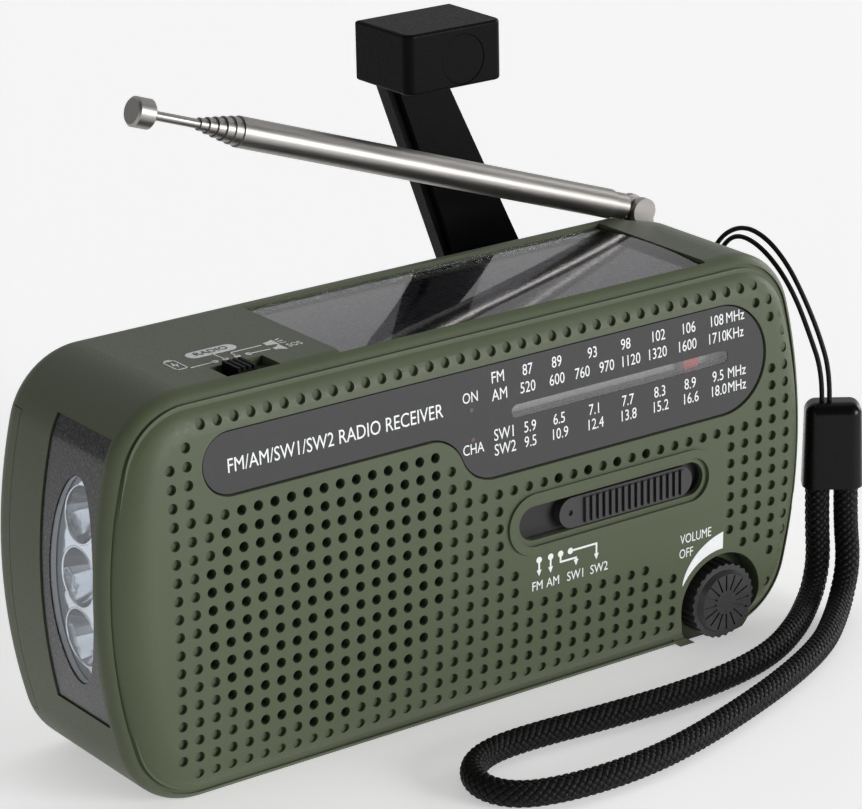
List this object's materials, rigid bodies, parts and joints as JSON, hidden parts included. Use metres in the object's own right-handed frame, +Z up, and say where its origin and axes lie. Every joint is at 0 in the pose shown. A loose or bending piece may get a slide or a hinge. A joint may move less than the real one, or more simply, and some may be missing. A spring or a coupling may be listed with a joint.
{
  "type": "emergency radio",
  "caption": "Hand-crank pocket radio with a perforated olive case, dial window, solar panel, end lamp, telescopic antenna, folding crank on the rear and a braided wrist strap",
  "frame": {"origin": "centre of the case's flat underside, midway along its length and between its front and rear faces", "axes": "+X along the case to the right as seen from the front, +Y from the front face to the rear, +Z up"},
  "size_m": [0.1425, 0.0867, 0.098],
  "materials": {
    "olive_plastic": "soft-touch moulded plastic, fine texture",
    "black_plastic": "textured black moulding",
    "black_gloss": "smooth glossy black",
    "dial_black": "dark grey glossy panel",
    "clear_plastic": "clear moulding",
    "dial_grey": "pale grey printed strip",
    "pointer_red": "red moulding",
    "nickel_steel": "nickel-plated, drawn along its length",
    "chrome_reflector": "vacuum-metallised",
    "led_clear": "clear epoxy",
    "solar_black": "dark cells with fine grid lines",
    "board_green": "solder mask",
    "steel": "plain steel",
    "brass": "turned",
    "white_nylon": "moulded nylon",
    "paper_black": "pressed paper pulp",
    "cloth_black": "fine woven cloth",
    "ferrite": "pressed ferrite",
    "copper_wire": "close-wound enamelled wire",
    "cell_wrap": "shrink sleeve",
    "braid_black": "braided nylon",
    "cord_string": "twisted string"
  },
  "bodies": {
    "case": {"front_shell": "olive_plastic", "rear_shell": "olive_plastic", "dial_window": "dial_black", "dial_lens": "clear_plastic", "dial_backing": "dial_grey", "dial_cord": "cord_string", "dial_spindles": "steel", "tuning_capacitor": "white_nylon", "main_board": "board_green", "band_switch": "steel", "volume_pot": "steel", "grille_cloth": "cloth_black", "speaker_basket": "steel", "speaker_cone": "paper_black", "solar_cell": "solar_black", "solar_cover": "clear_plastic", "mode_switch": "steel", "lamp_bezel": "black_plastic", "lamp_lens": "clear_plastic", "lamp_reflector": "chrome_reflector", "lamp_leds": "led_clear", "lamp_board": "board_green", "indicator_leds": "led_clear", "battery_cells": "cell_wrap", "battery_contacts": "nickel_steel", "dynamo_case": "steel", "gear_bracket": "steel", "crank_bush": "brass", "ferrite_rod": "ferrite", "aerial_coil": "copper_wire", "earphone_jack": "black_gloss", "charging_port": "nickel_steel", "case_screws": "steel", "strap_ferrule": "black_plastic", "strap_rope": "braid_black", "strap_lace": "braid_black"},
    "pointer": {"dial_pointer": "pointer_red"},
    "tuning_wheel": {"tuning_wheel": "black_plastic"},
    "tuning_rotor": {"tuning_gear": "white_nylon"},
    "band_slider": {"band_slider": "black_plastic"},
    "volume_knob": {"volume_knob": "black_plastic"},
    "mode_knob": {"mode_knob": "black_plastic"},
    "battery_door": {"battery_door": "olive_plastic"},
    "crank": {"crank_hub": "black_plastic", "drive_gear": "white_nylon"},
    "crank_arm": {"crank_arm": "black_plastic", "crank_hinge_pin": "steel", "knob_pin": "black_gloss"},
    "crank_knob": {"crank_knob": "black_plastic"},
    "step_gear": {"step_gear": "white_nylon"},
    "dynamo_rotor": {"dynamo_rotor": "steel"},
    "mast_base": {"antenna_clevis": "nickel_steel"},
    "mast_1": {"antenna_tube_1": "nickel_steel"},
    "mast_2": {"antenna_tube_2": "nickel_steel"},
    "mast_3": {"antenna_tube_3": "nickel_steel"},
    "mast_4": {"antenna_tube_4": "nickel_steel"},
    "mast_5": {"antenna_tube_5": "nickel_steel"},
    "mast_6": {"antenna_tube_6": "nickel_steel"},
    "mast_7": {"antenna_rod": "nickel_steel", "antenna_tip": "nickel_steel"}
  },
  "joints": [
    {"name": "tuning_turn", "type": "hinge", "parent": "case", "child": "tuning_wheel", "pos_m": [0.0515, -0.007, 0.042], "axis": [0, 1, 0], "range_deg": [-311, 27]},
    {"name": "pointer_slide", "type": "slide", "parent": "case", "child": "pointer", "axis": [1, 0, 0], "range_m": [-0.03447, 0.00299]},
    {"name": "capacitor_turn", "type": "hinge", "parent": "case", "child": "tuning_rotor", "pos_m": [0.04156, -0.004, 0.03207], "axis": [0, 1, 0], "range_deg": [-12.79, 147.32]},
    {"name": "band_slide", "type": "slide", "parent": "case", "child": "band_slider", "axis": [1, 0, 0], "range_m": [-0.0062, 0]},
    {"name": "volume_turn", "type": "hinge", "parent": "case", "child": "volume_knob", "pos_m": [0.0462, -0.014, 0.0073], "axis": [0, 1, 0], "range_deg": [0, 300]},
    {"name": "mode_slide", "type": "slide", "parent": "case", "child": "mode_knob", "axis": [1, 0, 0], "range_m": [-0.0019, 0.0037]},
    {"name": "door_slide", "type": "slide", "parent": "case", "child": "battery_door", "axis": [-1, 0, 0], "range_m": [0, 0.008]},
    {"name": "crank_turn", "type": "hinge", "parent": "case", "child": "crank", "pos_m": [0.0429, 0.028, 0.04], "axis": [0, 1, 0], "continuous": true},
    {"name": "crank_fold", "type": "hinge", "parent": "crank", "child": "crank_arm", "pos_m": [0.0429, 0.0323, 0.04], "axis": [-0.9232, 0, -0.3843], "range_deg": [0, 180]},
    {"name": "knob_spin", "type": "hinge", "parent": "crank_arm", "child": "crank_knob", "pos_m": [0.0225, 0.025, 0.0928], "axis": [0, 1, 0], "continuous": true},
    {"name": "step_turn", "type": "hinge", "parent": "case", "child": "step_gear", "pos_m": [0.02785, 0.011, 0.04], "axis": [0, 1, 0], "continuous": true},
    {"name": "dynamo_turn", "type": "hinge", "parent": "case", "child": "dynamo_rotor", "pos_m": [0.0153, 0.005, 0.04], "axis": [0, 1, 0], "continuous": true},
    {"name": "mast_swivel", "type": "hinge", "parent": "case", "child": "mast_base", "pos_m": [0.0543, 0.0149, 0.06], "axis": [0, 0, 1], "range_deg": [-5, 200]},
    {"name": "mast_tilt", "type": "hinge", "parent": "mast_base", "child": "mast_1", "pos_m": [0.0543, 0.0149, 0.0633], "axis": [0, 1, 0], "range_deg": [0, 140]},
    {"name": "mast_slide_2", "type": "slide", "parent": "mast_1", "child": "mast_2", "axis": [-0.9449, 0, 0.3272], "range_m": [0, 0.06]},
    {"name": "mast_slide_3", "type": "slide", "parent": "mast_2", "child": "mast_3", "axis": [-0.9449, 0, 0.3272], "range_m": [0, 0.06]},
    {"name": "mast_slide_4", "type": "slide", "parent": "mast_3", "child": "mast_4", "axis": [-0.9449, 0, 0.3272], "range_m": [0, 0.06]},
    {"name": "mast_slide_5", "type": "slide", "parent": "mast_4", "child": "mast_5", "axis": [-0.9449, 0, 0.3272], "range_m": [0, 0.06]},
    {"name": "mast_slide_6", "type": "slide", "parent": "mast_5", "child": "mast_6", "axis": [-0.9449, 0, 0.3272], "range_m": [0, 0.06]},
    {"name": "mast_slide_7", "type": "slide", "parent": "mast_6", "child": "mast_7", "axis": [-0.9449, 0, 0.3272], "range_m": [0, 0.06]}
  ],
  "couplings": [
    {"joint": "pointer_slide", "follows": "tuning_turn", "m_per_rad": 0.00635},
    {"joint": "capacitor_turn", "follows": "tuning_turn", "ratio": -0.47368},
    {"joint": "step_turn", "follows": "crank_turn", "ratio": -4},
    {"joint": "dynamo_turn", "follows": "crank_turn", "ratio": 16}
  ]
}
